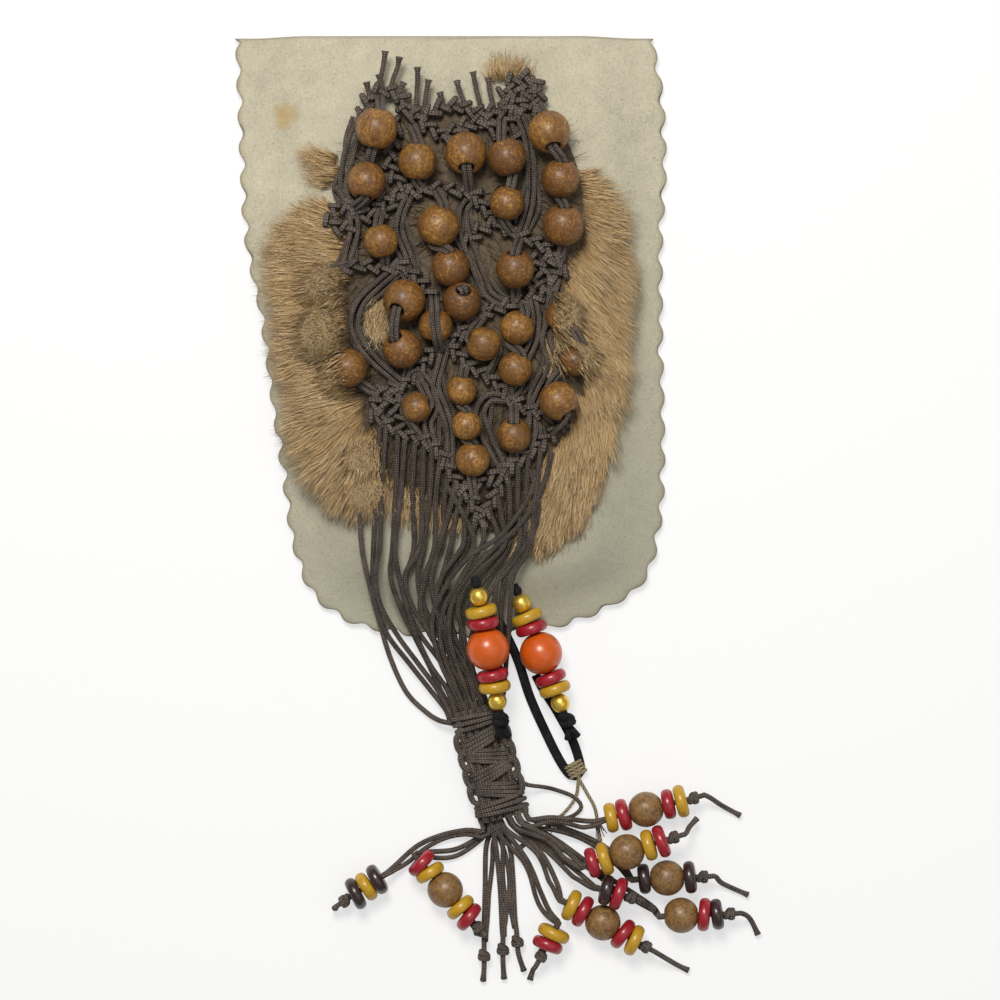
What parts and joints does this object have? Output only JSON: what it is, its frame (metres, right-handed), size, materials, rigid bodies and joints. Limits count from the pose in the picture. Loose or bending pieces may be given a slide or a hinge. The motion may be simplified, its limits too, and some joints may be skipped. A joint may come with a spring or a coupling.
{
  "type": "medicine bag",
  "caption": "Flat suede medicine bag with a fur patch under a knotted cord net of wooden beads, a knotted neck and a beaded cord fringe.",
  "frame": {"origin": "on the underside of the back panel, below the middle of the bead net", "axes": "+X across the bag, +Y towards its open mouth, +Z out of its front; it lies on its back"},
  "size_m": [0.1509, 0.2711, 0.0247],
  "materials": {
    "suede": "pale suede with a short nap",
    "fur": "long golden-brown hair on a hide",
    "cord": "dark waxed braided cord",
    "wood": "satin varnish over brown grain",
    "red": "gloss red",
    "yellow": "gloss mustard yellow",
    "orange": "gloss burnt orange",
    "gold": "polished gold tone",
    "lace": "black round lace",
    "twine": "pale natural twine"
  },
  "bodies": {
    "root": {"back_panel": "suede", "dangle_lace_left": "lace", "dangle_lace_right": "lace", "dangle_left_1_gold": "gold", "dangle_left_2_yellow": "yellow", "dangle_left_3_red": "red", "dangle_left_4_orange": "orange", "dangle_left_5_red": "red", "dangle_left_6_yellow": "yellow", "dangle_left_7_gold": "gold", "dangle_right_1_gold": "gold", "dangle_right_2_yellow": "yellow", "dangle_right_3_red": "red", "dangle_right_4_orange": "orange", "dangle_right_5_red": "red", "dangle_right_6_yellow": "yellow", "dangle_right_7_gold": "gold", "fringe_centre": "cord", "fringe_centre_left": "cord", "fringe_centre_right": "cord", "fringe_left_far": "cord", "fringe_left_near": "cord", "fringe_right_1": "cord", "fringe_right_2": "cord", "fringe_right_3": "cord", "fringe_right_4": "cord", "fringe_right_5": "cord", "fringe_right_6": "cord", "fringe_right_7": "cord", "front_panel": "suede", "fur_pelt": "fur", "gathered_cords": "cord", "lace_loop": "lace", "loop_twine": "twine", "macrame_net": "cord", "neck_sinnet": "cord", "net_bead_01": "wood", "net_bead_02": "wood", "net_bead_03": "wood", "net_bead_04": "wood", "net_bead_05": "wood", "net_bead_06": "wood", "net_bead_07": "wood", "net_bead_08": "wood", "net_bead_09": "wood", "net_bead_10": "wood", "net_bead_11": "wood", "net_bead_12": "wood", "net_bead_13": "wood", "net_bead_15": "wood", "net_bead_17": "wood", "net_bead_18": "wood", "net_bead_19": "wood", "net_bead_22": "wood", "net_bead_26": "wood", "net_bead_28": "wood", "net_bead_29": "wood", "net_bead_30": "wood", "side_cord": "cord", "side_strand": "cord"}
  },
  "joints": []
}
